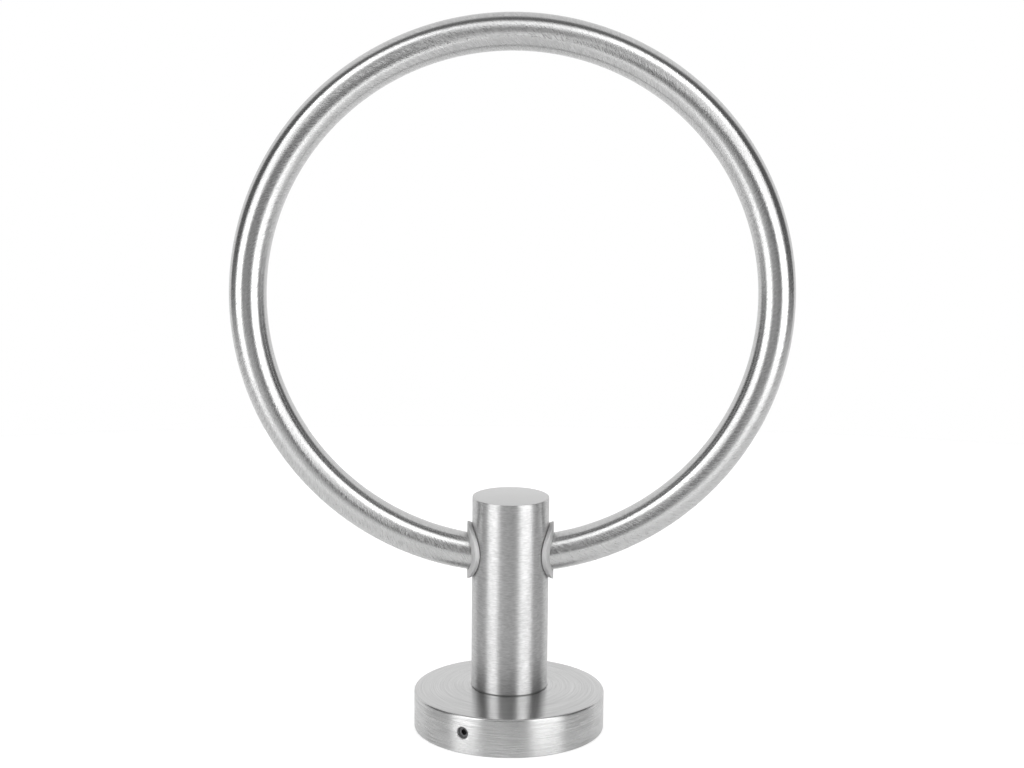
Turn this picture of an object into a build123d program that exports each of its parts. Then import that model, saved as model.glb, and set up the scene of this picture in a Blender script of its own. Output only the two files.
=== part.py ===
"""Towel ring in brushed stainless steel.

A round base covers a bracket on the wall, a post stands on the base, and a ring of
round bar passes through the post near its free end. The origin is the middle of the
base's wall face, +Z runs along the post, and the ring lies in the XZ plane.
"""

import os
from math import asin, atan2, cos, degrees, radians, sin, sqrt

from build123d import *

# Base cover: a turned cup with a domed top
base_diameter = 50.0
base_rim_height = 10.2
base_dome_rise = 1.3
base_wall = 3.5
base_hollow_depth = 7.2
base_edge_chamfer = 0.3

# Post: plain round bar in a shallow seat on the base
post_diameter = 20.0
post_top_height = 62.4
post_seat_height = 10.8
post_seat_gap = 0.3
post_edge_chamfer = 0.3
post_foot_chamfer = 0.4

# Ring: round bar bent to a circle, its ends meeting inside the post
ring_bar_diameter = 9.6
ring_centre_line_diameter = 135.0
ring_below_post_top = 15.6
ring_end_gap = 1.0

# Collars: round washers bent to the post, with a rim that widens away from it
collar_diameter = 15.2
collar_back_diameter = 14.2
collar_thickness = 1.2
collar_rise = 0.4

# Wall bracket: disc with an undercut edge and two countersunk holes
bracket_thickness = 6.9
bracket_wall_gap = 0.3
bracket_lip_thickness = 0.6
bracket_undercut = 2.2
bracket_undercut_height = 3.2
wall_hole_diameter = 4.5
wall_hole_sink_diameter = 9.0
wall_hole_spacing = 26.0

# Set screw in the rim of the base
set_screw_diameter = 3.0
set_screw_length = 3.0
set_screw_socket = 1.5
set_screw_socket_depth = 1.3
set_screw_point_diameter = 1.0
set_screw_height = 5.6
set_screw_azimuth = 29.0
set_screw_hole_bevel = 0.2

# Screws on the axis of the post
axial_screw_diameter = 6.0
post_screw_length = 16.0
post_screw_head_diameter = 12.0
post_screw_socket = 4.0
post_screw_socket_depth = 2.0
lock_screw_length = 10.0
lock_screw_socket = 3.0
lock_screw_socket_depth = 3.5
lock_screw_point_diameter = 4.0
countersink_angle = 90.0

# Clearances between pieces
thread_clearance = 0.05
tip_clearance = 0.05
bar_clearance = 0.1
collar_clearance = 0.1

# Sizes that follow from those above
base_radius = base_diameter / 2
post_radius = post_diameter / 2
bar_radius = ring_bar_diameter / 2
ring_radius = ring_centre_line_diameter / 2
dome_height = base_rim_height + base_dome_rise
dome_radius = (base_radius**2 + base_dome_rise**2) / (2 * base_dome_rise)
hollow_radius = base_radius - base_wall
ring_lowest_height = post_top_height - ring_below_post_top
ring_centre_height = ring_lowest_height + ring_radius
ring_centre = Vector(0, 0, ring_centre_height)
ring_axis = Axis(ring_centre, (0, 1, 0))
axial_hole_radius = axial_screw_diameter / 2 + thread_clearance


def ring_height_at(distance):
    """Height of the ring's centre line at a distance from the post's axis."""
    return ring_centre_height - sqrt(ring_radius**2 - distance**2)


# The straight cross bore takes in the rise of the curved bar between its two mouths
bore_rise = ring_height_at(post_radius) - ring_lowest_height
bore_height = ring_lowest_height + bore_rise / 2
bore_radius = bar_radius + bore_rise / 2 + bar_clearance
collar_height = ring_height_at(post_radius + collar_thickness / 2) + collar_rise
collar_inside = post_radius + collar_clearance
collar_outside = collar_inside + collar_thickness
collar_flare = degrees(atan2((collar_diameter - collar_back_diameter) / 2, collar_thickness))

# The set screw points outwards, between the front (-Y) and the left (-X)
set_screw_direction = Vector(-sin(radians(set_screw_azimuth)), -cos(radians(set_screw_azimuth)), 0)
bracket_radius = hollow_radius - bracket_wall_gap
undercut_span = bracket_thickness - bracket_lip_thickness - bracket_undercut_height
point_height = set_screw_height + set_screw_point_diameter / 2
undercut_share = (point_height - bracket_undercut_height) / undercut_span
set_screw_tip = bracket_radius - bracket_undercut * (1 - undercut_share) + tip_clearance


def set_screw_plane(distance):
    """Plane across the set screw's axis, at a distance from the post's axis."""
    origin = set_screw_direction * distance + Vector(0, 0, set_screw_height)
    return Plane(origin, x_dir=(0, 0, 1), z_dir=set_screw_direction)


def ring_section_plane(angle):
    """Plane across the ring, turned by an angle from the ring's lowest point."""
    outwards = Vector(sin(radians(angle)), 0, -cos(radians(angle)))
    along = Vector(cos(radians(angle)), 0, sin(radians(angle)))
    return Plane(ring_centre, x_dir=outwards, z_dir=along)


os.makedirs("parts", exist_ok=True)

# Base cover
with BuildPart() as base_cover:
    with BuildSketch(Plane.XZ):
        with BuildLine():
            Polyline((0, dome_height), (0, 0), (base_radius, 0), (base_radius, base_rim_height))
            RadiusArc((base_radius, base_rim_height), (0, dome_height), -dome_radius)
        make_face()
    revolve(axis=Axis.Z)
    chamfer(base_cover.edges().filter_by(GeomType.CIRCLE), base_edge_chamfer)
    with BuildSketch(Plane.XY):
        Circle(hollow_radius)
    extrude(amount=base_hollow_depth, mode=Mode.SUBTRACT)
    with BuildSketch(Plane.XY.offset(post_seat_height)):
        Circle(post_radius + post_seat_gap)
    extrude(amount=dome_height - post_seat_height, mode=Mode.SUBTRACT)
    with Locations(Plane((0, 0, base_hollow_depth), z_dir=(0, 0, -1))):
        CounterSinkHole(
            radius=axial_hole_radius,
            counter_sink_radius=post_screw_head_diameter / 2 + thread_clearance,
            depth=dome_height - base_hollow_depth,
            counter_sink_angle=countersink_angle,
        )
    with Locations(set_screw_plane(base_radius)):
        CounterSinkHole(
            radius=set_screw_diameter / 2 + thread_clearance,
            counter_sink_radius=set_screw_diameter / 2 + set_screw_hole_bevel,
            depth=2 * base_wall,
            counter_sink_angle=countersink_angle,
        )
base_cover.part.label = "base_cover"
export_step(base_cover.part, "parts/base_cover.step")

# Set screw: hexagon socket outside, cone point on the bracket's undercut edge
with BuildPart() as base_set_screw:
    with BuildSketch(set_screw_plane(set_screw_tip)):
        Circle(set_screw_diameter / 2)
    extrude(amount=set_screw_length)
    point = base_set_screw.edges().sort_by(Axis((0, 0, 0), set_screw_direction))[0]
    chamfer(point, (set_screw_diameter - set_screw_point_diameter) / 2)
    with BuildSketch(set_screw_plane(set_screw_tip + set_screw_length)):
        RegularPolygon(set_screw_socket / 2, 6, major_radius=False)
    extrude(amount=-set_screw_socket_depth, mode=Mode.SUBTRACT)
base_set_screw.part.label = "base_set_screw"
export_step(base_set_screw.part, "parts/base_set_screw.step")

# Wall bracket
with BuildPart() as wall_bracket:
    with BuildSketch(Plane.XZ):
        with BuildLine():
            Polyline(
                (0, 0),
                (bracket_radius - bracket_undercut, 0),
                (bracket_radius - bracket_undercut, bracket_undercut_height),
                (bracket_radius, bracket_thickness - bracket_lip_thickness),
                (bracket_radius, bracket_thickness),
                (0, bracket_thickness),
                close=True,
            )
        make_face()
    revolve(axis=Axis.Z)
    with Locations(Plane.XY.offset(bracket_thickness)):
        with GridLocations(wall_hole_spacing, 0, 2, 1):
            CounterSinkHole(
                radius=wall_hole_diameter / 2,
                counter_sink_radius=wall_hole_sink_diameter / 2,
                counter_sink_angle=countersink_angle,
            )
wall_bracket.part.label = "wall_bracket"
export_step(wall_bracket.part, "parts/wall_bracket.step")

# Post
with BuildPart() as post:
    with BuildSketch(Plane.XY.offset(post_seat_height)):
        Circle(post_radius)
    extrude(amount=post_top_height - post_seat_height)
    chamfer(post.edges().group_by(Axis.Z)[-1], post_edge_chamfer)
    chamfer(post.edges().group_by(Axis.Z)[0], post_foot_chamfer)
    with BuildSketch(Plane.YZ):
        with Locations((0, bore_height)):
            Circle(bore_radius)
    extrude(amount=post_radius, both=True, mode=Mode.SUBTRACT)
    with BuildSketch(Plane.XY.offset(post_seat_height)):
        Circle(axial_hole_radius)
    extrude(amount=bore_height - post_seat_height, mode=Mode.SUBTRACT)
post.part.label = "post"
export_step(post.part, "parts/post.step")

# Countersunk screw that holds the post on the base
with BuildPart() as post_screw:
    with BuildSketch(Plane.XY.offset(base_hollow_depth)):
        Circle(axial_screw_diameter / 2)
    extrude(amount=post_screw_length)
    chamfer(post_screw.edges().group_by(Axis.Z)[-1], axial_screw_diameter / 8)
    with BuildSketch(Plane.XY.offset(base_hollow_depth)):
        Circle(post_screw_head_diameter / 2)
    head_depth = (post_screw_head_diameter - axial_screw_diameter) / 2
    extrude(amount=head_depth, taper=countersink_angle / 2)
    with BuildSketch(Plane.XY.offset(base_hollow_depth)):
        RegularPolygon(post_screw_socket / 2, 6, major_radius=False)
    extrude(amount=post_screw_socket_depth, mode=Mode.SUBTRACT)
post_screw.part.label = "post_screw"
export_step(post_screw.part, "parts/post_screw.step")

# Ring: one bent bar with a small gap between its ends in the middle of the post
end_angle = degrees(asin(ring_end_gap / 2 / ring_radius))
with BuildPart() as ring:
    with BuildSketch(ring_section_plane(end_angle)):
        with Locations((ring_radius, 0)):
            Circle(bar_radius)
    revolve(axis=-ring_axis, revolution_arc=360 - 2 * end_angle)
ring.part.label = "ring"
export_step(ring.part, "parts/ring.step")

# Grub screw inside the post that clamps both ends of the ring
lock_screw_top = ring_lowest_height - bar_radius - tip_clearance
with BuildPart() as ring_lock_screw:
    with BuildSketch(Plane.XY.offset(lock_screw_top - lock_screw_length)):
        Circle(axial_screw_diameter / 2)
    extrude(amount=lock_screw_length)
    point_chamfer = (axial_screw_diameter - lock_screw_point_diameter) / 2
    chamfer(ring_lock_screw.edges().group_by(Axis.Z)[-1], point_chamfer)
    with BuildSketch(Plane.XY.offset(lock_screw_top - lock_screw_length)):
        RegularPolygon(lock_screw_socket / 2, 6, major_radius=False)
    extrude(amount=lock_screw_socket_depth, mode=Mode.SUBTRACT)
ring_lock_screw.part.label = "ring_lock_screw"
export_step(ring_lock_screw.part, "parts/ring_lock_screw.step")

# Collars: a flared round blank cut from a bent sheet round the post, and the bar's own bend cut out
with BuildPart() as collar_left:
    with BuildSketch(Plane.XY.offset(collar_height - collar_diameter)):
        Circle(collar_outside)
        Circle(collar_inside, mode=Mode.SUBTRACT)
    extrude(amount=2 * collar_diameter)
    with BuildSketch(Plane.YZ.offset(-collar_outside - collar_thickness)):
        with Locations((0, collar_height)):
            Circle(collar_diameter - collar_back_diameter / 2)
    extrude(amount=collar_outside, taper=collar_flare, mode=Mode.INTERSECT)
    with BuildSketch(ring_section_plane(0)):
        with Locations((ring_radius, 0)):
            Circle(bar_radius + bar_clearance)
    revolve(axis=ring_axis, revolution_arc=90, mode=Mode.SUBTRACT)
collar_left.part.label = "collar_left"
export_step(collar_left.part, "parts/collar_left.step")

with BuildPart() as collar_right:
    mirror(collar_left.part, about=Plane.YZ)
collar_right.part.label = "collar_right"
export_step(collar_right.part, "parts/collar_right.step")
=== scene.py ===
from math import atan2, cos, pi, radians, sin, sqrt

import bpy
from mathutils import Matrix, Vector


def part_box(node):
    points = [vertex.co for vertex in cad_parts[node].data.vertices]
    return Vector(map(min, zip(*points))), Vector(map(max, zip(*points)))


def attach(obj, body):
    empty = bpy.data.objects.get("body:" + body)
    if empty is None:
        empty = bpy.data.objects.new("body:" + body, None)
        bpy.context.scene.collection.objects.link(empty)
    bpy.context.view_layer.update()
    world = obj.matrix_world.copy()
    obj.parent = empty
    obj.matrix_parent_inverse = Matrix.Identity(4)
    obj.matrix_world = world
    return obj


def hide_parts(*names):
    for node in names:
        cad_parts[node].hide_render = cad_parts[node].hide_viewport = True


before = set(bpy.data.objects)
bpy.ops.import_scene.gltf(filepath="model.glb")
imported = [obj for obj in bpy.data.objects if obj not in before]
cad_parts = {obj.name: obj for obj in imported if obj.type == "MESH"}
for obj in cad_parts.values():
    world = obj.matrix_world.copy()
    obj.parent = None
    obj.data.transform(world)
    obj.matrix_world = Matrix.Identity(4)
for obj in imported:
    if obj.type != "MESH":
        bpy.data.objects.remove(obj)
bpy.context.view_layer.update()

bl_info = {
    "name": "Towel ring",
    "version": (1, 0, 0),
    "blender": (4, 5, 0),
    "location": "View3D > Sidebar > Towel ring",
    "description": "Dresses a towel ring in brushed stainless steel and sets a small studio for it",
    "category": "Object",
}

MM = 0.001
BODY = "root"

# Edges that turn by less than this are shaded smooth
SMOOTH_ANGLE = radians(35)
# Points closer than this are merged
MERGE_DISTANCE = 0.001 * MM
# Width of the camera's sensor in millimetres, which its focal length goes with
SENSOR_WIDTH = 36.0


def frame_box(node):
    """A CAD node's lowest and highest corners, rounded to a tenth of a millimetre."""
    low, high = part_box(node)
    return Vector([round(v, 4) for v in low]), Vector([round(v, 4) for v in high])


BASE_HIGH = frame_box("base_cover")[1]
POST_LOW, POST_HIGH = frame_box("post")
RING_HIGH = frame_box("ring")[1]
COLLAR_LOW, COLLAR_HIGH = frame_box("collar_left")


def length_property(name, description, default):
    """A length in metres, shown in the scene's unit."""
    return bpy.props.FloatProperty(
        name=name, description=description, default=default, min=0.0, unit="LENGTH", precision=5
    )


def angle_property(name, description, degrees):
    """An angle, given in degrees and kept in radians."""
    return bpy.props.FloatProperty(
        name=name, description=description, default=radians(degrees), subtype="ANGLE"
    )


def level_property(name, description, default):
    """A plain number that is never below zero."""
    return bpy.props.FloatProperty(name=name, description=description, default=default, min=0.0)


def hex_property(name, description, default):
    """A colour as six sRGB hex digits."""
    return bpy.props.StringProperty(name=name, description=description, default=default)


class TowelRingSizes(bpy.types.PropertyGroup):
    """Sizes of the towel ring, in metres, with defaults from the CAD frame"""

    base_radius: length_property("Base radius", "Radius of the round base", BASE_HIGH.x)
    base_rim_height: length_property("Rim height", "Height of the base's straight side", 10.2 * MM)
    base_dome_rise: length_property("Dome rise", "Rise of the domed top above its rim", 1.3 * MM)
    base_wall: length_property("Base wall", "Thickness of the base's side wall", 3.5 * MM)
    base_hollow_depth: length_property("Hollow depth", "Depth of the base's hollow", 7.2 * MM)
    base_rim_rounding: length_property("Rim rounding", "Radius on the upper edge of the base", 0.7 * MM)
    base_foot_rounding: length_property(
        "Foot rounding", "Radius on the lower edge of the base", 0.3 * MM)
    post_radius: length_property("Post radius", "Radius of the post", POST_HIGH.x)
    post_foot: length_property("Post foot", "Height of the post's flat foot", POST_LOW.z)
    post_top: length_property("Post top", "Height of the post's flat top", POST_HIGH.z)
    post_top_rounding: length_property(
        "Post rounding", "Radius on the upper edge of the post", 0.25 * MM)
    post_foot_chamfer: length_property("Post chamfer", "Chamfer above the post's seat", 0.25 * MM)
    post_seat_gap: length_property("Seat gap", "Width of the groove round the post's foot", 0.12 * MM)
    screw_bore_radius: length_property("Screw bore", "Radius of the bore on the post's axis", 3.05 * MM)
    screw_sink_radius: length_property(
        "Screw sink", "Radius of the countersink under the post", 6.05 * MM)
    bar_radius: length_property("Bar radius", "Radius of the ring's round bar", RING_HIGH.y)
    ring_outer_radius: length_property("Ring outer radius", "Outer radius of the ring", RING_HIGH.x)
    ring_top: length_property("Ring top", "Highest point of the ring", RING_HIGH.z)
    bore_clearance: length_property("Bore clearance", "Room round the bar in its cross bore", 0.1 * MM)
    collar_radius: length_property(
        "Collar radius", "Radius of the collars' face", (COLLAR_HIGH.z - COLLAR_LOW.z) / 2)
    collar_back_radius: length_property(
        "Collar back radius", "Radius of the collars at the post", 7.1 * MM)
    collar_outside: length_property(
        "Collar outside", "Distance of the collars' face from the axis", -COLLAR_LOW.x)
    collar_thickness: length_property("Collar thickness", "Thickness of the collars' sheet", 1.2 * MM)
    collar_height: length_property(
        "Collar height", "Height of the collars' middle", (COLLAR_LOW.z + COLLAR_HIGH.z) / 2)
    collar_rounding: length_property("Collar rounding", "Radius on the collars' edges", 0.2 * MM)
    collar_hole_clearance: length_property(
        "Collar clearance", "Room round the bar in the collars", 0.2 * MM)
    set_screw_radius: length_property("Set screw bore", "Radius of the set screw's bore", 1.55 * MM)
    set_screw_bevel: length_property("Set screw bevel", "Bevel at the mouth of that bore", 0.2 * MM)
    set_screw_height: length_property("Set screw height", "Height of the set screw's axis", 5.6 * MM)
    set_screw_azimuth: angle_property("Set screw azimuth", "Turn of the set screw from the front", 29.0)


class TowelRingFinish(bpy.types.PropertyGroup):
    """Colours and brush marks of the stainless steel"""

    steel: hex_property("Steel", "Colour of the brushed steel, as sRGB hex", "CBCBCB")
    top_steel: hex_property("Top steel", "Colour of the post's faced top, as sRGB hex", "C6C6C6")
    collar_steel: hex_property("Collar steel", "Colour of the satin collars, as sRGB hex", "D4D4D4")
    bracket_steel: hex_property("Bracket steel", "Colour of the milled bracket, as sRGB hex", "A8A8A8")
    # The screws' colour is darker by a painted shade, for the shade deep in the set screw's bore
    screw_steel: hex_property("Screw steel", "Colour of the screws, as sRGB hex", "747476")
    # Real brush and turning marks are 0.02 to 0.05 mm apart, too fine for the picture. These lines and
    # the grains below them are drawn several times as coarse, so that they show.
    face_line: length_property("Face lines", "Spacing of the turned rings on the base", 0.22 * MM)
    face_depth: length_property("Face depth", "Depth of the turned rings on the base", 0.02 * MM)
    rim_line: length_property("Rim lines", "Spacing of the brush lines on the rim", 0.16 * MM)
    rim_depth: length_property("Rim depth", "Depth of the brush lines on the rim", 0.012 * MM)
    post_line: length_property("Post lines", "Spacing of the brush lines round the post", 0.28 * MM)
    post_depth: length_property("Post depth", "Depth of the brush lines round the post", 0.008 * MM)
    ring_line: length_property("Ring lines", "Spacing of the brush lines round the bar", 0.22 * MM)
    ring_depth: length_property("Ring depth", "Depth of the brush lines round the bar", 0.025 * MM)
    top_grain: length_property("Top grain", "Grain of the post's faced top", 0.25 * MM)
    bore_grain: length_property("Bore grain", "Grain of the set screw's drilled bore", 0.3 * MM)
    collar_grain: length_property("Collar grain", "Grain of the satin collars", 0.25 * MM)
    bracket_grain: length_property("Bracket grain", "Grain of the milled bracket", 0.4 * MM)
    screw_grain: length_property("Screw grain", "Grain of the tumbled screws", 0.2 * MM)


class TowelRingStage(bpy.types.PropertyGroup):
    """Camera, floor and studio light"""

    floor_width: length_property("Floor width", "Width of the oval floor", 1100 * MM)
    floor_depth: length_property("Floor depth", "Depth of the oval floor", 720 * MM)
    floor_colour: hex_property("Floor colour", "Colour of the floor, as sRGB hex", "E6E6E6")
    floor_lift: level_property("Floor lift", "Light added to the floor that the camera sees", 0.5)
    floor_polish: level_property(
        "Floor polish", "Share of the studio that steel sees in the floor", 0.5)
    camera_distance: length_property(
        "Camera distance", "Distance from the point it circles", 583.9 * MM)
    camera_pivot: length_property("Camera pivot", "Height of the point it circles", 75.0 * MM)
    camera_aim: length_property("Camera aim", "Height of the point in mid-picture", 92.1 * MM)
    camera_elevation: angle_property("Camera elevation", "Height above the horizon", 13.15)
    camera_azimuth: angle_property("Camera azimuth", "Turn from the front", -0.735)
    camera_roll: angle_property("Camera roll", "Turn about the line of sight", 0.55)
    camera_lens: bpy.props.FloatProperty(
        name="Lens", description="Focal length on a 36 mm sensor", default=79.37, unit="CAMERA"
    )


# Mesh helpers


def arc(centre, radius, start, end, steps):
    """Points on an arc in the profile's plane, from one angle to another, in degrees."""
    points = []
    for i in range(steps + 1):
        angle = radians(start + (end - start) * i / steps)
        points.append((centre[0] + radius * cos(angle), centre[1] + radius * sin(angle)))
    return points


def turn_profile(name, profile, steps):
    """Draws a closed half section by extruding one point, and spins it round the Z axis."""
    bpy.ops.object.select_all(action="DESELECT")
    bpy.ops.mesh.primitive_plane_add(size=MM)
    piece = bpy.context.object
    piece.name = piece.data.name = name
    bpy.ops.object.mode_set(mode="EDIT")
    bpy.ops.mesh.select_all(action="SELECT")
    bpy.ops.mesh.merge(type="CENTER")
    bpy.ops.transform.translate(value=(profile[0][0], 0, profile[0][1]))
    for before, after in zip(profile, profile[1:] + profile[:1]):
        step = (after[0] - before[0], 0, after[1] - before[1])
        bpy.ops.mesh.extrude_vertices_move(TRANSFORM_OT_translate={"value": step})
    bpy.ops.mesh.select_all(action="SELECT")
    bpy.ops.mesh.spin(steps=steps, angle=2 * pi, center=(0, 0, 0), axis=(0, 0, 1))
    bpy.ops.mesh.select_all(action="SELECT")
    bpy.ops.mesh.remove_doubles(threshold=MERGE_DISTANCE)
    bpy.ops.mesh.delete_loose()
    bpy.ops.mesh.select_all(action="SELECT")
    bpy.ops.mesh.normals_make_consistent(inside=False)
    bpy.ops.object.mode_set(mode="OBJECT")
    return piece


def make_active(piece):
    """Selects one piece alone and makes it the active one."""
    bpy.ops.object.select_all(action="DESELECT")
    piece.select_set(True)
    bpy.context.view_layer.objects.active = piece


def cut(piece, cutter):
    """Cuts a hole with a Boolean modifier, applies it and removes the cutter."""
    faces_before = len(piece.data.polygons)
    make_active(piece)
    bpy.ops.object.modifier_add(type="BOOLEAN")
    boolean = piece.modifiers[-1]
    boolean.operation = "DIFFERENCE"
    boolean.solver = "EXACT"
    boolean.object = cutter
    bpy.ops.object.modifier_apply(modifier=boolean.name)
    bpy.data.objects.remove(cutter)
    if len(piece.data.polygons) == faces_before:
        raise RuntimeError("No hole was cut in " + piece.name)


def finish_piece(piece, material, slot, *nodes):
    """Smooths a piece, gives it its steel and sets it in the place of its CAD nodes."""
    make_active(piece)
    bpy.ops.object.shade_smooth_by_angle(angle=SMOOTH_ANGLE)
    piece.data.materials.clear()
    piece.data.materials.append(material)
    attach(piece, BODY)
    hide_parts(*nodes)


def paint_faces(piece, material, test):
    """Gives a material to the faces whose middle and direction pass a test."""
    piece.data.materials.append(material)
    for face in piece.data.polygons:
        if test(face.center, face.normal):
            face.material_index = len(piece.data.materials) - 1


# Materials

# Places of the two colours among a Mix node's inputs, and of the colour among its outputs
MIX_A = 6
MIX_B = 7
MIX_COLOUR = 2
# Most values of a noise texture lie between these
NOISE_LOW = 0.3
NOISE_HIGH = 0.7
# Values of the marks between which the roughness runs from its highest to its lowest
ROUGH_MARK = 0.35
SMOOTH_MARK = 0.65
# Darkest and brightest spots of a plain grain, as shares of its colour
GRAIN_SHADES = (0.92, 1.04)
# Depth of a plain grain, as a share of its width
GRAIN_DEPTH = 0.01
# Tangents of the brushed metals: round the Z axis, and along the ring's bar
ROUND_AXIS = {"direction_type": "RADIAL", "axis": "Z"}
ALONG_BAR = {"direction_type": "UV_MAP", "uv_map": "UVMap"}
# Turn of the stretched blur against the tangent
QUARTER_TURN = 0.25
NO_TURN = 0.0
# Place of the ring's foot along its bar, in turns
FOOT_TURN = 0.5
# Turns from the foot at which the bar starts to turn rougher and darker towards its top, and is so all
# over; the darker colour is a painted shade
DULL_SHADE_FROM = 0.41
DULL_SHADE_FULL = 0.48
# How far the marks sink there, which raises the roughness and darkens the colour as a painted shade
DULL_SHADE_SHIFT = 0.09


def linear(hex_colour):
    """An sRGB hex colour as linear red, green, blue and alpha."""
    channels = [int(hex_colour[i:i + 2], 16) / 255 for i in (0, 2, 4)]
    return [c / 12.92 if c <= 0.04045 else ((c + 0.055) / 1.055) ** 2.4 for c in channels] + [1.0]


def add_node(tree, kind, settings=None, inputs=None):
    """Adds a node. An input takes a value, or the output socket that it is linked from."""
    node = tree.nodes.new(kind)
    for key, value in (settings or {}).items():
        setattr(node, key, value)
    for key, value in (inputs or {}).items():
        if isinstance(value, bpy.types.NodeSocket):
            tree.links.new(value, node.inputs[key])
        else:
            node.inputs[key].default_value = value
    return node


def new_material(name):
    """An empty node material."""
    material = bpy.data.materials.new(name)
    material.use_nodes = True
    material.node_tree.nodes.clear()
    return material


def brushed_steel(
    name, colour, lines, shades, depth, roughness, spread, anisotropy, rotation, tangent
):
    """A metal whose fine lines vary its colour, roughness and height.

    lines is a function that adds the nodes of the brush marks and returns their output. shades are
    the darkest and brightest lines as shares of the colour, and spread is how far the lines vary
    the roughness. anisotropy stretches each light, and rotation turns the stretch from the tangent
    to lie across the lines.
    """
    material = new_material(name)
    tree = material.node_tree
    marks = lines(tree)
    shade = add_node(tree, "ShaderNodeMapRange", inputs={
        "Value": marks, "From Min": NOISE_LOW, "From Max": NOISE_HIGH,
        "To Min": shades[0], "To Max": shades[1]})
    tint = add_node(tree, "ShaderNodeMix", {"data_type": "RGBA", "blend_type": "MULTIPLY"}, {
        "Factor": 1.0, MIX_A: linear(colour), MIX_B: shade.outputs["Result"]})
    rough = add_node(tree, "ShaderNodeMapRange", inputs={
        "Value": marks, "From Min": ROUGH_MARK, "From Max": SMOOTH_MARK,
        "To Min": roughness * (1 + spread), "To Max": roughness * (1 - spread)})
    bump = add_node(tree, "ShaderNodeBump", inputs={
        "Strength": 1.0, "Distance": depth, "Height": marks})
    direction = add_node(tree, "ShaderNodeTangent", tangent)
    shader = add_node(tree, "ShaderNodeBsdfPrincipled", inputs={
        "Base Color": tint.outputs[MIX_COLOUR],
        "Metallic": 1.0,
        "Roughness": rough.outputs["Result"],
        "Anisotropic": anisotropy,
        "Anisotropic Rotation": rotation,
        "Tangent": direction.outputs["Tangent"],
        "Normal": bump.outputs["Normal"],
    })
    add_node(tree, "ShaderNodeOutputMaterial", inputs={"Surface": shader.outputs["BSDF"]})
    return material


def lines_round_axis(tree, spacing, arcs):
    """Fine lines round the Z axis: rings on a flat top, level lines on an upright side.

    arcs is how often the lines break up in each radian of their way round.
    """
    place = add_node(tree, "ShaderNodeTexCoord").outputs["Object"]
    parts = add_node(tree, "ShaderNodeSeparateXYZ", inputs={"Vector": place})
    flat = add_node(tree, "ShaderNodeCombineXYZ", inputs={
        "X": parts.outputs["X"], "Y": parts.outputs["Y"]})
    radius = add_node(tree, "ShaderNodeVectorMath", {"operation": "LENGTH"}, {0: flat.outputs[0]})
    around = add_node(tree, "ShaderNodeVectorMath", {"operation": "NORMALIZE"}, {0: flat.outputs[0]})
    way = add_node(tree, "ShaderNodeVectorMath", {"operation": "SCALE"}, {
        0: around.outputs[0], "Scale": arcs})
    way_parts = add_node(tree, "ShaderNodeSeparateXYZ", inputs={"Vector": way.outputs[0]})
    ring_count = add_node(tree, "ShaderNodeMath", {"operation": "DIVIDE"}, {
        0: radius.outputs["Value"], 1: spacing})
    level_count = add_node(tree, "ShaderNodeMath", {"operation": "DIVIDE"}, {
        0: parts.outputs["Z"], 1: spacing})
    spot = add_node(tree, "ShaderNodeCombineXYZ", inputs={
        "X": ring_count.outputs[0], "Y": way_parts.outputs["X"], "Z": way_parts.outputs["Y"]})
    noise = add_node(tree, "ShaderNodeTexNoise", {"noise_dimensions": "4D"}, {
        "Vector": spot.outputs[0], "W": level_count.outputs[0],
        "Scale": 1.0, "Detail": 2.0, "Roughness": 0.6})
    return noise.outputs["Fac"]


def lines_round_bar(tree, spacing, bar_radius, ring_radius, slant, arcs):
    """Short slanted lines round the ring's bar, on its own UV map.

    U runs along the ring and V round the bar. slant shifts a line along the ring for each length
    that it runs round the bar, and arcs is how often the lines break up in each radian of it.
    Towards the top the marks sink a little, which leaves the steel there rougher, and darker by a
    painted shade.
    """
    uv = add_node(tree, "ShaderNodeUVMap", {"uv_map": "UVMap"}).outputs["UV"]
    parts = add_node(tree, "ShaderNodeSeparateXYZ", inputs={"Vector": uv})
    turn = add_node(tree, "ShaderNodeMath", {"operation": "MULTIPLY"}, {
        0: parts.outputs["Y"], 1: 2 * pi})
    sine = add_node(tree, "ShaderNodeMath", {"operation": "SINE"}, {0: turn.outputs[0]})
    cosine = add_node(tree, "ShaderNodeMath", {"operation": "COSINE"}, {0: turn.outputs[0]})
    along = add_node(tree, "ShaderNodeMath", {"operation": "MULTIPLY"}, {
        0: parts.outputs["X"], 1: 2 * pi * ring_radius / spacing})
    shifted = add_node(tree, "ShaderNodeMath", {"operation": "MULTIPLY_ADD"}, {
        0: cosine.outputs[0], 1: slant * bar_radius / spacing, 2: along.outputs[0]})
    across = add_node(tree, "ShaderNodeMath", {"operation": "MULTIPLY"}, {
        0: sine.outputs[0], 1: arcs})
    down = add_node(tree, "ShaderNodeMath", {"operation": "MULTIPLY"}, {
        0: cosine.outputs[0], 1: arcs})
    spot = add_node(tree, "ShaderNodeCombineXYZ", inputs={
        "X": shifted.outputs[0], "Y": across.outputs[0], "Z": down.outputs[0]})
    noise = add_node(tree, "ShaderNodeTexNoise", {"noise_dimensions": "3D"}, {
        "Vector": spot.outputs[0], "Scale": 1.0, "Detail": 4.0, "Roughness": 0.65})
    # Painted shade: the sunk marks darken the colour towards the top, and also roughen it
    past_foot = add_node(tree, "ShaderNodeMath", {"operation": "SUBTRACT"}, {
        0: parts.outputs["X"], 1: FOOT_TURN})
    from_foot = add_node(tree, "ShaderNodeMath", {"operation": "ABSOLUTE"}, {0: past_foot.outputs[0]})
    dull = add_node(tree, "ShaderNodeMapRange", {"interpolation_type": "SMOOTHSTEP"}, {
        "Value": from_foot.outputs[0], "From Min": DULL_SHADE_FROM, "From Max": DULL_SHADE_FULL,
        "To Min": 0.0, "To Max": DULL_SHADE_SHIFT})
    marks = add_node(tree, "ShaderNodeMath", {"operation": "SUBTRACT"}, {
        0: noise.outputs["Fac"], 1: dull.outputs["Result"]})
    return marks.outputs[0]


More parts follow.
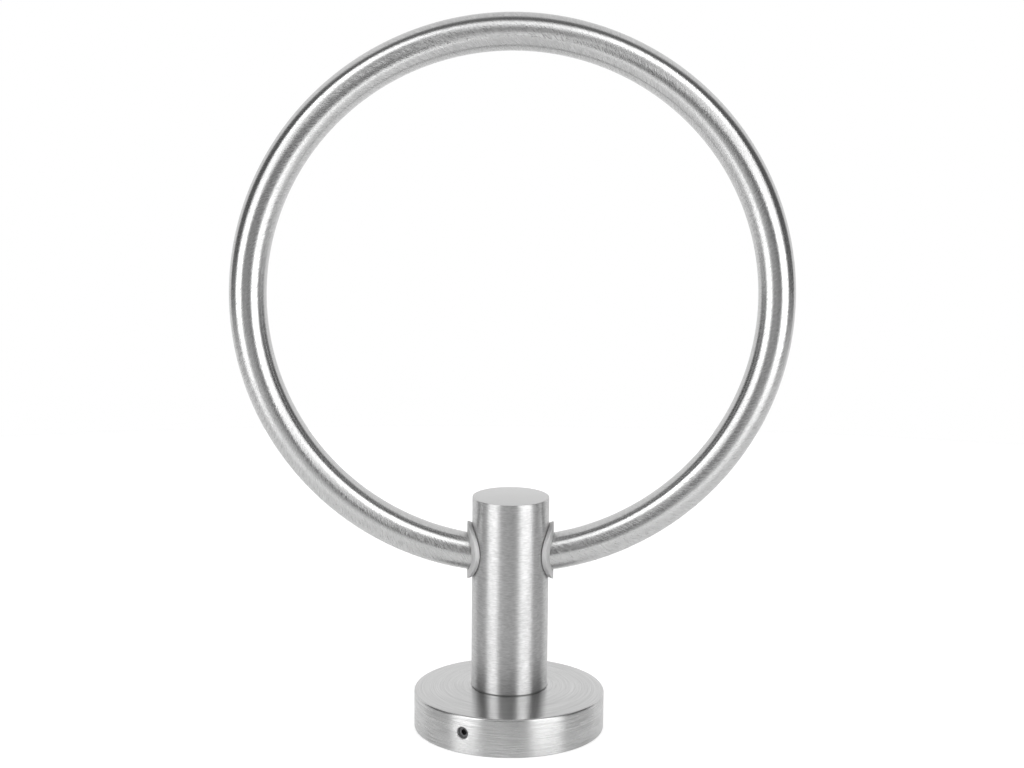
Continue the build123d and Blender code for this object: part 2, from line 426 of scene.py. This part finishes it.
def plain_steel(name, colour, roughness, grit):
    """A metal with a fine even grain, as drilled, milled and tumbled pieces have."""
    material = new_material(name)
    tree = material.node_tree
    place = add_node(tree, "ShaderNodeTexCoord").outputs["Object"]
    grain = add_node(tree, "ShaderNodeTexNoise", inputs={
        "Vector": place, "Scale": 1 / grit, "Detail": 3.0, "Roughness": 0.6})
    shade = add_node(tree, "ShaderNodeMapRange", inputs={
        "Value": grain.outputs["Fac"], "From Min": NOISE_LOW, "From Max": NOISE_HIGH,
        "To Min": GRAIN_SHADES[0], "To Max": GRAIN_SHADES[1]})
    tint = add_node(tree, "ShaderNodeMix", {"data_type": "RGBA", "blend_type": "MULTIPLY"}, {
        "Factor": 1.0, MIX_A: linear(colour), MIX_B: shade.outputs["Result"]})
    bump = add_node(tree, "ShaderNodeBump", inputs={
        "Strength": 1.0, "Distance": grit * GRAIN_DEPTH, "Height": grain.outputs["Fac"]})
    shader = add_node(tree, "ShaderNodeBsdfPrincipled", inputs={
        "Base Color": tint.outputs[MIX_COLOUR], "Metallic": 1.0, "Roughness": roughness,
        "Normal": bump.outputs["Normal"]})
    add_node(tree, "ShaderNodeOutputMaterial", inputs={"Surface": shader.outputs["BSDF"]})
    return material


def dome_level(sizes, radius):
    """Height of the base's domed top at a distance from the axis."""
    sphere = (sizes.base_radius**2 + sizes.base_dome_rise**2) / (2 * sizes.base_dome_rise)
    crown = sizes.base_rim_height + sizes.base_dome_rise
    return crown - sphere + sqrt(sphere**2 - radius**2)


class TOWELRING_OT_turn_base(bpy.types.Operator):
    """Turns the domed base cover and drills the bore of its set screw"""

    bl_idname = "towel_ring.turn_base"
    bl_label = "Turn base"

    def execute(self, context):
        sizes = context.scene.towel_ring_sizes
        finish = context.scene.towel_ring_finish
        outer = sizes.base_radius
        hollow = outer - sizes.base_wall
        rim = sizes.base_rim_rounding
        foot = sizes.base_foot_rounding
        seat = sizes.post_radius + sizes.post_seat_gap
        rim_top = dome_level(sizes, outer - rim)
        dome_steps = 16
        dome = []
        for i in range(1, dome_steps + 1):
            radius = outer - rim + (seat - outer + rim) * i / dome_steps
            dome.append((radius, dome_level(sizes, radius)))
        screw_bore = sizes.screw_bore_radius
        sink = sizes.screw_sink_radius
        ceiling = sizes.base_hollow_depth
        sink_top = ceiling + sink - screw_bore
        profile = (
            [(screw_bore, sink_top), (sink, ceiling), (hollow, ceiling), (hollow, 0)]
            + arc((outer - foot, foot), foot, start=-90, end=0, steps=5)
            + arc((outer - rim, rim_top - rim), rim, start=0, end=87, steps=8)
            + dome
            + [(seat, sizes.post_foot), (screw_bore, sizes.post_foot)]
        )
        base = turn_profile("base_cover_turned", profile, steps=360)
        bore = sizes.set_screw_radius
        bevel = sizes.set_screw_bevel
        out = sizes.base_wall
        bore_profile = [
            (0, -2 * out), (bore, -2 * out), (bore, -bevel), (bore + bevel + out, out), (0, out)]
        cutter = turn_profile("set_screw_bore", bore_profile, steps=48)
        azimuth = sizes.set_screw_azimuth
        direction = Vector((-sin(azimuth), -cos(azimuth), 0))
        turned = direction.to_track_quat("Z", "Y").to_matrix().to_4x4()
        middle = direction * outer + Vector((0, 0, sizes.set_screw_height))
        cutter.data.transform(Matrix.Translation(middle) @ turned)
        cut(base, cutter)
        # Brushed stainless rim: level lines, which stretch each light up and down
        rim_steel = brushed_steel(
            "brushed_stainless_rim", finish.steel,
            lambda tree: lines_round_axis(tree, finish.rim_line, arcs=4.0),
            shades=(0.84, 1.12), depth=finish.rim_depth, roughness=0.3, spread=0.25,
            anisotropy=0.88, rotation=QUARTER_TURN, tangent=ROUND_AXIS)
        # Turned stainless face: fine rings, which stretch each light towards the middle
        face_steel = brushed_steel(
            "turned_stainless_face", finish.steel,
            lambda tree: lines_round_axis(tree, finish.face_line, arcs=1.5),
            shades=(0.87, 1.09), depth=finish.face_depth, roughness=0.18, spread=0.2,
            anisotropy=0.95, rotation=QUARTER_TURN, tangent=ROUND_AXIS)
        # Drilled bore: rough and dull
        bore_steel = plain_steel(
            "drilled_stainless_bore", finish.steel, roughness=0.6, grit=finish.bore_grain)
        finish_piece(base, rim_steel, "turned_stainless", "base_cover")
        # Shares of a face's direction from which it counts as facing up, or straight out of the rim
        faces_up = 0.7
        faces_out = 0.9
        face_bottom = sizes.post_foot - MM
        paint_faces(base, face_steel, lambda spot, way: way.z > faces_up and spot.z > face_bottom)
        paint_faces(base, bore_steel, lambda spot, way: (
            (spot - middle).cross(direction).length < bore + bevel
            and (spot - middle).dot(direction) > -out
            and abs(way.dot(direction)) < faces_out))
        return {"FINISHED"}


class TOWELRING_OT_turn_post(bpy.types.Operator):
    """Turns the post and drills the cross bore of the ring"""

    bl_idname = "towel_ring.turn_post"
    bl_label = "Turn post"

    def execute(self, context):
        sizes = context.scene.towel_ring_sizes
        finish = context.scene.towel_ring_finish
        outer = sizes.post_radius
        edge = sizes.post_top_rounding
        chamfer = sizes.post_foot_chamfer
        bore = sizes.screw_bore_radius
        ring_radius = sizes.ring_outer_radius - sizes.bar_radius
        ring_centre = sizes.ring_top - sizes.ring_outer_radius
        rise = ring_radius - sqrt(ring_radius**2 - outer**2)
        bore_height = ring_centre - ring_radius + rise / 2
        bore_radius = sizes.bar_radius + rise / 2 + sizes.bore_clearance
        neck = dome_level(sizes, outer)
        profile = (
            [(0, bore_height), (bore, bore_height), (bore, sizes.post_foot)]
            + [(outer - chamfer, sizes.post_foot), (outer - chamfer, neck), (outer, neck + chamfer)]
            + arc((outer - edge, sizes.post_top - edge), edge, start=0, end=90, steps=6)
            + [(0, sizes.post_top)]
        )
        post = turn_profile("post_turned", profile, steps=256)
        bpy.ops.object.select_all(action="DESELECT")
        bpy.ops.mesh.primitive_cylinder_add(
            vertices=96, radius=bore_radius, depth=4 * outer,
            location=(0, 0, bore_height), rotation=(0, pi / 2, 0))
        cut(post, bpy.context.object)
        # Brushed stainless bar: level lines round it, which stretch each light up and down
        steel = brushed_steel(
            "brushed_stainless_post", finish.steel,
            lambda tree: lines_round_axis(tree, finish.post_line, arcs=8.0),
            shades=(0.83, 1.12), depth=finish.post_depth, roughness=0.4, spread=0.1,
            anisotropy=0.84, rotation=QUARTER_TURN, tangent=ROUND_AXIS)
        # Faced stainless top: even and satin, with a fine grain
        top_steel = plain_steel(
            "faced_stainless_top", finish.top_steel, roughness=0.17, grit=finish.top_grain)
        finish_piece(post, steel, "post_stainless", "post")
        # Share of a face's direction from which it counts as facing up
        faces_up = 0.9
        edge_foot = sizes.post_top - edge
        paint_faces(post, top_steel, lambda spot, way: way.z > faces_up and spot.z > edge_foot)
        return {"FINISHED"}


class TOWELRING_OT_bend_ring(bpy.types.Operator):
    """Makes the round bar of the ring, which runs through the post"""

    bl_idname = "towel_ring.bend_ring"
    bl_label = "Bend ring"

    def execute(self, context):
        sizes = context.scene.towel_ring_sizes
        finish = context.scene.towel_ring_finish
        ring_radius = sizes.ring_outer_radius - sizes.bar_radius
        ring_centre = sizes.ring_top - sizes.ring_outer_radius
        # The seam of the bar's map lies this far beside the top of the ring
        seam_offset = 0.5 * MM
        bpy.ops.object.select_all(action="DESELECT")
        bpy.ops.mesh.primitive_torus_add(
            major_segments=256, minor_segments=72, generate_uvs=True,
            major_radius=ring_radius, minor_radius=sizes.bar_radius,
            location=(0, 0, ring_centre), rotation=(pi / 2, pi / 2 - seam_offset / ring_radius, 0))
        ring = bpy.context.object
        ring.name = ring.data.name = "ring_bent"
        bpy.ops.object.transform_apply(location=True, rotation=True, scale=True)
        # Brushed stainless bar: short slanted lines round it, which stretch the lights along it
        steel = brushed_steel(
            "brushed_stainless_ring", finish.steel,
            lambda tree: lines_round_bar(
                tree, finish.ring_line, sizes.bar_radius, ring_radius, slant=0.9, arcs=3.0),
            shades=(0.84, 1.12), depth=finish.ring_depth, roughness=0.235, spread=0.45,
            anisotropy=1.0, rotation=NO_TURN, tangent=ALONG_BAR)
        finish_piece(ring, steel, "ring_stainless", "ring")
        return {"FINISHED"}


def collar_rim(sizes, angle, distance):
    """Radius of a collar's flared rim, at an angle round the bar and a distance from the post's axis.

    The flare follows the way out from the post, which follows the radius, so it is found in rounds.
    """
    rounds = 12
    back = sizes.post_radius
    flare = (sizes.collar_radius - sizes.collar_back_radius) / sizes.collar_thickness
    rim = sizes.collar_radius
    for _ in range(rounds):
        out = sqrt(distance**2 - (rim * cos(angle)) ** 2)
        rim = sizes.collar_back_radius + flare * (out - back)
    return rim


def bend_collar(collar, sizes, side):
    """Wraps a flat washer round the post, and slides its hole to follow the bend of the bar."""
    hole = sizes.bar_radius + sizes.collar_hole_clearance
    inside = sizes.collar_outside - sizes.collar_thickness
    ring_radius = sizes.ring_outer_radius - sizes.bar_radius
    ring_centre = sizes.ring_top - sizes.ring_outer_radius
    for vertex in collar.data.vertices:
        across, up, height = vertex.co
        angle = atan2(up, across)
        distance = inside + height
        share = (sqrt(across**2 + up**2) - hole) / (sizes.collar_radius - hole)
        radius = hole + share * (collar_rim(sizes, angle, distance) - hole)
        depth = radius * cos(angle)
        out = sqrt(distance**2 - depth**2)
        bar_height = ring_centre - sqrt(ring_radius**2 - out**2)
        middle = bar_height + share * (sizes.collar_height - bar_height)
        vertex.co = (side * out, depth, middle + radius * sin(angle))


class TOWELRING_OT_bend_collars(bpy.types.Operator):
    """Makes the two round collars and bends them to the post"""

    bl_idname = "towel_ring.bend_collars"
    bl_label = "Bend collars"

    def execute(self, context):
        sizes = context.scene.towel_ring_sizes
        finish = context.scene.towel_ring_finish
        outer = sizes.collar_radius
        hole = sizes.bar_radius + sizes.collar_hole_clearance
        thick = sizes.collar_thickness
        edge = sizes.collar_rounding
        flat_steps = 10
        flat_width = outer - hole - 2 * edge
        flat = [hole + edge + flat_width * i / flat_steps for i in range(1, flat_steps)]
        profile = (
            arc((outer - edge / 2, edge / 2), edge / 2, start=-90, end=0, steps=4)
            + arc((outer - edge, thick - edge), edge, start=0, end=90, steps=6)
            + [(radius, thick) for radius in reversed(flat)]
            + arc((hole + edge, thick - edge), edge, start=90, end=180, steps=6)
            + [(hole, 0)]
            + [(radius, 0) for radius in flat]
        )
        # Satin stainless sheet: even and pale, with soft lights on its rounded edges
        steel = plain_steel(
            "satin_stainless_collar", finish.collar_steel, roughness=0.58, grit=finish.collar_grain)
        for side, node in ((-1, "collar_left"), (1, "collar_right")):
            collar = turn_profile(node + "_bent", profile, steps=160)
            bend_collar(collar, sizes, side)
            make_active(collar)
            bpy.ops.object.mode_set(mode="EDIT")
            bpy.ops.mesh.select_all(action="SELECT")
            bpy.ops.mesh.normals_make_consistent(inside=False)
            bpy.ops.object.mode_set(mode="OBJECT")
            finish_piece(collar, steel, "collar_stainless", node)
        return {"FINISHED"}


class TOWELRING_OT_finish_fixings(bpy.types.Operator):
    """Gives the bracket and the screws their steel"""

    bl_idname = "towel_ring.finish_fixings"
    bl_label = "Finish fixings"

    def execute(self, context):
        finish = context.scene.towel_ring_finish
        # Milled stainless plate: dull, with a fine grain
        bracket = plain_steel(
            "milled_stainless_bracket", finish.bracket_steel, roughness=0.42, grit=finish.bracket_grain)
        # Stainless screws: dull, with a slight tumbled grain, and darker by a painted shade for the
        # shade deep in the set screw's bore
        screws = plain_steel(
            "tumbled_stainless_screw_painted_shade", finish.screw_steel, roughness=0.55, grit=finish.screw_grain)
        for node, steel in (
            ("wall_bracket", bracket),
            ("base_set_screw", screws),
            ("post_screw", screws),
            ("ring_lock_screw", screws),
        ):
            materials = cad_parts[node].data.materials
            materials.clear()
            materials.append(steel)
        return {"FINISHED"}


# Stage

# Brightness of the studio's paper, strip lights and dark flags, where 1 is white
PAPER = 0.92
STRIP = 4.3
FLAG = 0.13
# Brightness by compass angle from the front, in degrees: paper behind, flags at the sides, two strip
# lights in front and a grey flag between them
STUDIO_ROUND = [
    (-180, PAPER), (-123, PAPER), (-113, FLAG), (-75, FLAG), (-65, STRIP), (-44, STRIP),
    (-33, 0.28), (-6, 0.26), (4, 0.14), (22, 0.14),
    (33, STRIP), (60, STRIP), (70, FLAG), (113, FLAG), (123, PAPER), (180, PAPER),
]
# Brightness overhead, by angle from the front horizon over the top to the back, in degrees
STUDIO_OVER = [
    (0, 0.5), (42, 0.5), (50, 1.4), (64, 1.4), (76, 0.2), (98, 0.2), (107, PAPER), (180, PAPER),
]
# Heights above the horizon between which the overhead lights take over, in degrees
OVER_FROM = 40
OVER_FULL = 60
# Share of the gauze across the strip lights, by height above the horizon in degrees
STUDIO_GAUZE = [(-90, 0), (-3, 0), (2, 1), (27, 1), (33, 0), (90, 0)]
# Brightness that the gauze leaves, so that a flat top that mirrors a strip doesn't burn out
GAUZE_LEVEL = 1.3
# Slant of the view, from 0 straight on to 1 level with the floor, at which the floor starts to mirror
# and at which it mirrors most
MIRROR_FROM = 0.5
MIRROR_FULL = 0.95


def studio_ramp(tree, stops, peak, low, high, angle):
    """A ramp of grey levels over an angle, as shares of the brightest level.

    The stops and the ramp's low and high ends are in degrees, and the angle's socket is in radians.
    """
    share = add_node(tree, "ShaderNodeMapRange", inputs={
        "Value": angle, "From Min": radians(low), "From Max": radians(high)})
    ramp = add_node(tree, "ShaderNodeValToRGB", inputs={"Fac": share.outputs["Result"]})
    elements = ramp.color_ramp.elements
    while len(elements) < len(stops):
        elements.new(1.0)
    for element, (degrees, level) in zip(elements, stops):
        element.position = (degrees - low) / (high - low)
        element.color = (level / peak, level / peak, level / peak, 1.0)
    return ramp.outputs["Color"]


def light_studio():
    """A studio of two upright strip lights, flags and white paper, which the steel mirrors.

    The camera sees plain white.
    """
    world = bpy.data.worlds.new("studio")
    bpy.context.scene.world = world
    world.use_nodes = True
    tree = world.node_tree
    tree.nodes.clear()
    peak = max(level for _, level in STUDIO_ROUND + STUDIO_OVER)
    direction = add_node(tree, "ShaderNodeTexCoord").outputs["Generated"]
    parts = add_node(tree, "ShaderNodeSeparateXYZ", inputs={"Vector": direction})
    front = add_node(tree, "ShaderNodeMath", {"operation": "MULTIPLY"}, {
        0: parts.outputs["Y"], 1: -1.0})
    compass = add_node(tree, "ShaderNodeMath", {"operation": "ARCTAN2"}, {
        0: parts.outputs["X"], 1: front.outputs[0]})
    over = add_node(tree, "ShaderNodeMath", {"operation": "ARCTAN2"}, {
        0: parts.outputs["Z"], 1: front.outputs[0]})
    around = studio_ramp(tree, STUDIO_ROUND, peak, low=-180, high=180, angle=compass.outputs[0])
    above = studio_ramp(tree, STUDIO_OVER, peak, low=0, high=180, angle=over.outputs[0])
    rise = add_node(tree, "ShaderNodeMapRange", {"interpolation_type": "SMOOTHSTEP"}, {
        "Value": parts.outputs["Z"],
        "From Min": sin(radians(OVER_FROM)), "From Max": sin(radians(OVER_FULL))})
    height = add_node(tree, "ShaderNodeMath", {"operation": "ARCSINE"}, {0: parts.outputs["Z"]})
    gauze = studio_ramp(tree, STUDIO_GAUZE, peak=1.0, low=-90, high=90, angle=height.outputs[0])
    softened = add_node(tree, "ShaderNodeMix", {"data_type": "RGBA", "blend_type": "DARKEN"}, {
        "Factor": gauze, MIX_A: around, MIX_B: [GAUZE_LEVEL / peak] * 3 + [1.0]})
    levels = add_node(tree, "ShaderNodeMix", {"data_type": "RGBA"}, {
        "Factor": rise.outputs["Result"], MIX_A: softened.outputs[MIX_COLOUR], MIX_B: above})
    studio = add_node(tree, "ShaderNodeBackground", inputs={
        "Color": levels.outputs[MIX_COLOUR], "Strength": peak})
    white = add_node(tree, "ShaderNodeBackground", inputs={"Color": (1, 1, 1, 1), "Strength": 1.0})
    paths = add_node(tree, "ShaderNodeLightPath").outputs
    seen = add_node(tree, "ShaderNodeMath", {"operation": "MAXIMUM"}, {
        0: paths["Is Camera Ray"], 1: paths["Is Transmission Ray"]})
    choice = add_node(tree, "ShaderNodeMixShader", inputs={
        0: seen.outputs[0], 1: studio.outputs[0], 2: white.outputs[0]})
    add_node(tree, "ShaderNodeOutputWorld", inputs={"Surface": choice.outputs[0]})


def lay_floor(width, depth, colour, lift, polish):
    """An oval pale floor that keeps the object's shadow and is clear when seen from below.

    The camera sees it lifted to white, and steel sees half of that lift. At a low angle steel sees
    the studio in it, as in any polished floor.
    """
    bpy.ops.object.select_all(action="DESELECT")
    bpy.ops.mesh.primitive_circle_add(vertices=128, radius=depth / 2, fill_type="NGON")
    floor = bpy.context.object
    bpy.ops.transform.resize(value=(width / depth, 1, 1))
    bpy.ops.object.transform_apply(location=True, rotation=True, scale=True)
    floor.name = floor.data.name = "floor"
    # Polished white board: pale and even, with no grain
    material = new_material("polished_white_board")
    material.cycles.emission_sampling = "NONE"
    tree = material.node_tree
    paths = add_node(tree, "ShaderNodeLightPath").outputs
    shown = add_node(tree, "ShaderNodeMath", {"operation": "MAXIMUM"}, {
        0: paths["Is Camera Ray"], 1: paths["Is Transmission Ray"]})
    in_steel = add_node(tree, "ShaderNodeMath", {"operation": "MULTIPLY"}, {
        0: paths["Is Glossy Ray"], 1: lift / 2})
    level = add_node(tree, "ShaderNodeMath", {"operation": "MULTIPLY_ADD"}, {
        0: shown.outputs[0], 1: lift, 2: in_steel.outputs[0]})
    board = add_node(tree, "ShaderNodeBsdfDiffuse", inputs={"Color": linear(colour)})
    glow = add_node(tree, "ShaderNodeEmission", inputs={"Strength": level.outputs[0]})
    lit = add_node(tree, "ShaderNodeAddShader", inputs={0: board.outputs[0], 1: glow.outputs[0]})
    below = add_node(tree, "ShaderNodeNewGeometry").outputs["Backfacing"]
    slant = add_node(tree, "ShaderNodeLayerWeight", inputs={"Blend": 0.5}).outputs["Facing"]
    grazing = add_node(tree, "ShaderNodeMapRange", inputs={
        "Value": slant, "From Min": MIRROR_FROM, "From Max": MIRROR_FULL, "To Max": polish})
    mirrored = add_node(tree, "ShaderNodeMath", {"operation": "MULTIPLY"}, {
        0: paths["Is Glossy Ray"], 1: grazing.outputs["Result"]})
    share = add_node(tree, "ShaderNodeMath", {"operation": "MAXIMUM"}, {
        0: below, 1: mirrored.outputs[0]})
    clear = add_node(tree, "ShaderNodeBsdfTransparent")
    choice = add_node(tree, "ShaderNodeMixShader", inputs={
        0: share.outputs[0], 1: lit.outputs[0], 2: clear.outputs[0]})
    add_node(tree, "ShaderNodeOutputMaterial", inputs={"Surface": choice.outputs[0]})
    floor.data.materials.append(material)


def place_camera(stage):
    """A camera that circles a point on the post's axis and aims a little higher."""
    data = bpy.data.cameras.new("camera")
    data.sensor_width = SENSOR_WIDTH
    data.lens = stage.camera_lens
    camera = bpy.data.objects.new("camera", data)
    bpy.context.scene.collection.objects.link(camera)
    level = cos(stage.camera_elevation)
    back = Vector((
        sin(stage.camera_azimuth) * level,
        -cos(stage.camera_azimuth) * level,
        sin(stage.camera_elevation),
    ))
    spot = Vector((0, 0, stage.camera_pivot)) + back * stage.camera_distance
    aim = (Vector((0, 0, stage.camera_aim)) - spot).to_track_quat("-Z", "Y").to_matrix().to_4x4()
    camera.matrix_world = Matrix.Translation(spot) @ aim @ Matrix.Rotation(stage.camera_roll, 4, "Z")
    data.clip_start = 10 * MM
    bpy.context.scene.camera = camera


class TOWELRING_OT_set_stage(bpy.types.Operator):
    """Lays the floor, lights the studio and places the camera"""

    bl_idname = "towel_ring.set_stage"
    bl_label = "Set stage"

    def execute(self, context):
        stage = context.scene.towel_ring_stage
        lay_floor(
            stage.floor_width, stage.floor_depth,
            stage.floor_colour, stage.floor_lift, stage.floor_polish)
        light_studio()
        place_camera(stage)
        context.scene.view_settings.view_transform = "Standard"
        return {"FINISHED"}


class TOWELRING_PT_sidebar(bpy.types.Panel):
    """Lists the towel ring's sizes, finish, stage and the steps that make it"""

    bl_idname = "TOWELRING_PT_sidebar"
    bl_label = "Towel ring"
    bl_space_type = "VIEW_3D"
    bl_region_type = "UI"
    bl_category = "Towel ring"

    def draw(self, context):
        for step in STEPS:
            self.layout.operator(step.bl_idname)
        for group, place in GROUPS.items():
            box = self.layout.box()
            settings = getattr(context.scene, place)
            for name in group.__annotations__:
                box.prop(settings, name)


GROUPS = {
    TowelRingSizes: "towel_ring_sizes",
    TowelRingFinish: "towel_ring_finish",
    TowelRingStage: "towel_ring_stage",
}
STEPS = (
    TOWELRING_OT_turn_base,
    TOWELRING_OT_turn_post,
    TOWELRING_OT_bend_ring,
    TOWELRING_OT_bend_collars,
    TOWELRING_OT_finish_fixings,
    TOWELRING_OT_set_stage,
)


def register():
    for group, name in GROUPS.items():
        bpy.utils.register_class(group)
        setattr(bpy.types.Scene, name, bpy.props.PointerProperty(type=group))
    for step in STEPS:
        bpy.utils.register_class(step)
    bpy.utils.register_class(TOWELRING_PT_sidebar)


def unregister():
    bpy.utils.unregister_class(TOWELRING_PT_sidebar)
    for step in reversed(STEPS):
        bpy.utils.unregister_class(step)
    for group, name in reversed(GROUPS.items()):
        delattr(bpy.types.Scene, name)
        bpy.utils.unregister_class(group)


def main():
    """Makes the pieces and the stage."""
    register()
    bpy.ops.towel_ring.turn_base()
    bpy.ops.towel_ring.turn_post()
    bpy.ops.towel_ring.bend_ring()
    bpy.ops.towel_ring.bend_collars()
    bpy.ops.towel_ring.finish_fixings()
    bpy.ops.towel_ring.set_stage()


if __name__ == "__main__":
    main()
